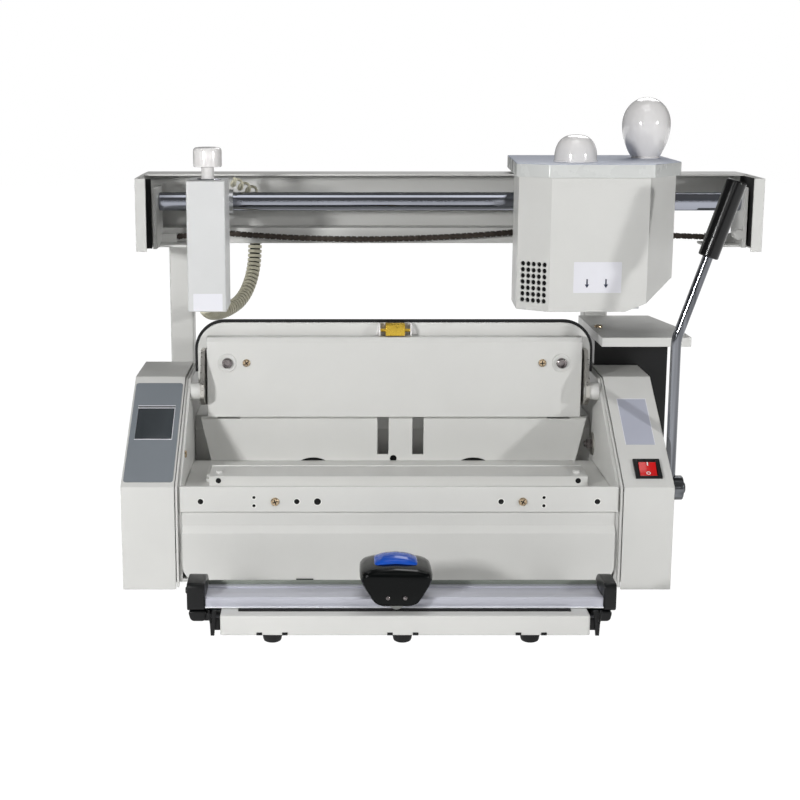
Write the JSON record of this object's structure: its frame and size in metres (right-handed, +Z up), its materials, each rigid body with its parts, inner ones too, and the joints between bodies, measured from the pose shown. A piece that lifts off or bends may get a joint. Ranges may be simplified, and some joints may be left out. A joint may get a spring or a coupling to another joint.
{
  "type": "perfect binding machine",
  "caption": "Desktop perfect binding machine: flip-over book clamp, milling and glue units on a chrome rail, closing lever, sloped side covers and a paper creaser in front.",
  "frame": {"origin": "centre of the machine's bounding box at the level it stands on", "axes": "+X to the operator's right, +Y to the back, +Z up"},
  "size_m": [0.655, 0.4844, 0.4617],
  "materials": {
    "body_paint": "satin",
    "overlay_grey": "satin film",
    "display_dark": "gloss",
    "black_plastic": "satin",
    "black_gloss": "gloss",
    "rocker_red": "gloss",
    "circuit_green": "matt",
    "zinc_steel": "zinc plated",
    "machined_steel": "ground",
    "dark_steel": "oiled",
    "alloy": "anodised",
    "polished_chrome": "polished",
    "brass_block": "machined",
    "rubber_black": "matt",
    "white_gloss": "gloss",
    "white_plastic": "satin",
    "button_blue": "gloss",
    "conduit_cream": "satin"
  },
  "bodies": {
    "machine": {"base_plate": "body_paint", "rubber_feet": "rubber_black", "side_plate_left": "body_paint", "side_plate_right": "body_paint", "side_cover_left": "body_paint", "side_cover_right": "body_paint", "control_overlay": "overlay_grey", "display_screen": "display_dark", "rocker_bezel": "black_plastic", "control_board": "circuit_green", "front_panel": "body_paint", "fascia_strip": "alloy", "body_screws": "zinc_steel", "nip_table": "body_paint", "nip_front_bar": "machined_steel", "inner_wall": "body_paint", "rear_cover": "body_paint", "power_inlet": "black_plastic", "beam_housing": "body_paint", "posts": "body_paint", "rail_brackets": "body_paint", "guide_rail": "polished_chrome", "roller_chain": "dark_steel", "drip_shelf": "body_paint", "electrics_box": "black_plastic", "crease_board": "body_paint", "crease_strip": "black_plastic", "crease_brackets": "black_plastic"},
    "lever": {"lever_shaft": "machined_steel", "lever_rod": "polished_chrome", "lever_grip": "black_gloss"},
    "nip_slider": {"nip_rear_bar": "machined_steel"},
    "clamp": {"clamp_back_plate": "body_paint", "clamp_edge_trim": "black_plastic", "clamp_arms": "zinc_steel", "clamp_pivots": "machined_steel", "stop_bracket": "white_plastic", "brass_stop": "brass_block"},
    "jaw": {"jaw_panel": "body_paint", "jaw_guide_bolts": "dark_steel", "jaw_screws": "zinc_steel"},
    "milling_unit": {"cutter_box": "body_paint", "cutter_sleeve": "alloy", "cutter_motor": "dark_steel", "conduit": "conduit_cream"},
    "milling_spindle": {"milling_disc": "machined_steel"},
    "milling_knob": {"cutter_knob": "white_gloss"},
    "glue_unit": {"glue_housing": "body_paint", "glue_lid": "body_paint", "egg_knob": "white_gloss", "glue_sleeve": "alloy", "glue_tank": "alloy"},
    "glue_wheel": {"glue_roller": "machined_steel"},
    "glue_cap": {"fill_cap": "white_gloss"},
    "power_switch": {"rocker": "rocker_red"},
    "crease_bar": {"crease_rail": "alloy", "crease_end_caps": "black_plastic"},
    "crease_carriage": {"crease_head": "black_plastic"},
    "crease_press": {"crease_button": "button_blue"},
    "crease_roll": {"crease_wheel": "machined_steel"}
  },
  "joints": [
    {"name": "lever_swing", "type": "hinge", "parent": "machine", "child": "lever", "pos_m": [-0.059, -0.04225, 0.087], "axis": [1, 0, 0], "range_deg": [0, 75]},
    {"name": "nip_open", "type": "slide", "parent": "machine", "child": "nip_slider", "axis": [0, 1, 0], "range_m": [0, 0.02608]},
    {"name": "clamp_flip", "type": "hinge", "parent": "machine", "child": "clamp", "pos_m": [-0.059, 0.02125, 0.171], "axis": [1, 0, 0], "range_deg": [0, 180]},
    {"name": "jaw_open", "type": "slide", "parent": "clamp", "child": "jaw", "axis": [0, -1, 0], "range_m": [0, 0.028]},
    {"name": "milling_slide", "type": "slide", "parent": "machine", "child": "milling_unit", "axis": [1, 0, 0], "range_m": [0, 0.26]},
    {"name": "milling_spin", "type": "hinge", "parent": "milling_unit", "child": "milling_spindle", "pos_m": [-0.2472, 0.04275, 0.26], "axis": [0, 0, 1], "continuous": true},
    {"name": "milling_knob_turn", "type": "hinge", "parent": "milling_unit", "child": "milling_knob", "pos_m": [-0.2472, 0.05475, 0.39], "axis": [0, 0, 1], "range_deg": [0, 330]},
    {"name": "glue_slide", "type": "slide", "parent": "machine", "child": "glue_unit", "axis": [1, 0, 0], "range_m": [-0.26, 0.05]},
    {"name": "glue_roller_turn", "type": "hinge", "parent": "glue_unit", "child": "glue_wheel", "pos_m": [0.147, 0.05275, 0.285], "axis": [0, 1, 0], "continuous": true},
    {"name": "fill_cap_lift", "type": "slide", "parent": "glue_unit", "child": "glue_cap", "axis": [0, 0, 1], "range_m": [0, 0.03]},
    {"name": "power_rocker", "type": "hinge", "parent": "machine", "child": "power_switch", "pos_m": [0.1785, -0.08239, 0.11267], "axis": [-1, 0, 0], "range_deg": [0, 16]},
    {"name": "crease_bar_lift", "type": "hinge", "parent": "machine", "child": "crease_bar", "pos_m": [-0.059, -0.18125, 0.0283], "axis": [-1, 0, 0], "range_deg": [0, 60]},
    {"name": "crease_travel", "type": "slide", "parent": "crease_bar", "child": "crease_carriage", "axis": [1, 0, 0], "range_m": [-0.13, 0.13]},
    {"name": "crease_button_press", "type": "slide", "parent": "crease_carriage", "child": "crease_press", "axis": [0, 0, -1], "range_m": [0, 0.003], "stiffness_N_per_m": 400, "springref_m": -0.003},
    {"name": "crease_wheel_turn", "type": "hinge", "parent": "crease_carriage", "child": "crease_roll", "pos_m": [-0.066, -0.22675, 0.0332], "axis": [0, 1, 0], "continuous": true}
  ],
  "couplings": [
    {"joint": "nip_open", "follows": "lever_swing", "m_per_rad": 0.01992},
    {"joint": "glue_roller_turn", "follows": "glue_slide", "rad_per_m": -38.462},
    {"joint": "crease_wheel_turn", "follows": "crease_travel", "rad_per_m": 142.86}
  ]
}
